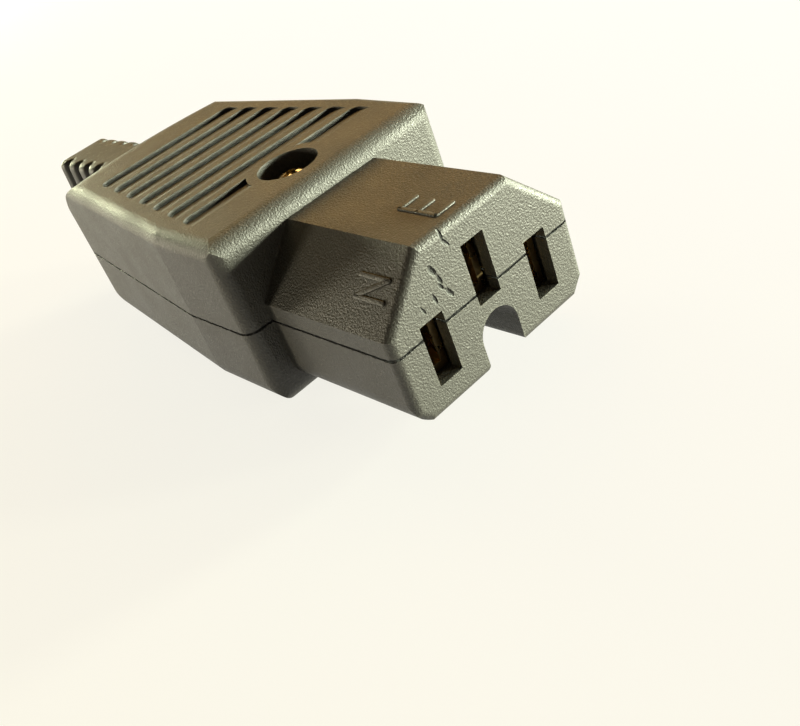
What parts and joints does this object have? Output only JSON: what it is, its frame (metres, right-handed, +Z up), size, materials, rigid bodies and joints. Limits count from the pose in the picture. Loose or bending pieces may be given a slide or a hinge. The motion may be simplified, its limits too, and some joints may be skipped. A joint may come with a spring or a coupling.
{
  "type": "rewireable appliance power connector",
  "caption": "Black rewireable appliance connector with a notched nose, screwed half shells, brass sockets and a flexible ribbed boot.",
  "frame": {"origin": "middle of the connector's length and width, on the flat underside of its housing", "axes": "X across the connector, Y from the nose's face (-Y) to the boot's free end (+Y), Z up from the underside to the face with the screw"},
  "size_m": [0.03, 0.0792, 0.0195],
  "materials": {
    "shell_black": "satin, fine spark-eroded grain",
    "boot_black": "satin flexible plastic",
    "brass_sheet": "pressed and folded sheet",
    "spring_steel": "thin hardened strip",
    "plated_screw": "bright nickel plating, slightly warm",
    "clamp_grey": "moulded, plain"
  },
  "bodies": {
    "root": {"upper_shell": "shell_black", "lower_shell": "shell_black", "housing_screw": "plated_screw", "housing_nut": "brass_sheet", "strain_relief_boot": "boot_black", "line_contact": "brass_sheet", "neutral_contact": "brass_sheet", "earth_contact": "brass_sheet", "line_spring": "spring_steel", "neutral_spring": "spring_steel", "earth_spring": "spring_steel", "line_terminal_screw": "plated_screw", "neutral_terminal_screw": "plated_screw", "earth_terminal_screw": "plated_screw", "line_wire_guard": "spring_steel", "neutral_wire_guard": "spring_steel", "earth_wire_guard": "spring_steel", "cord_clamp": "clamp_grey", "cord_clamp_screw_left": "plated_screw", "cord_clamp_screw_right": "plated_screw"}
  },
  "joints": []
}
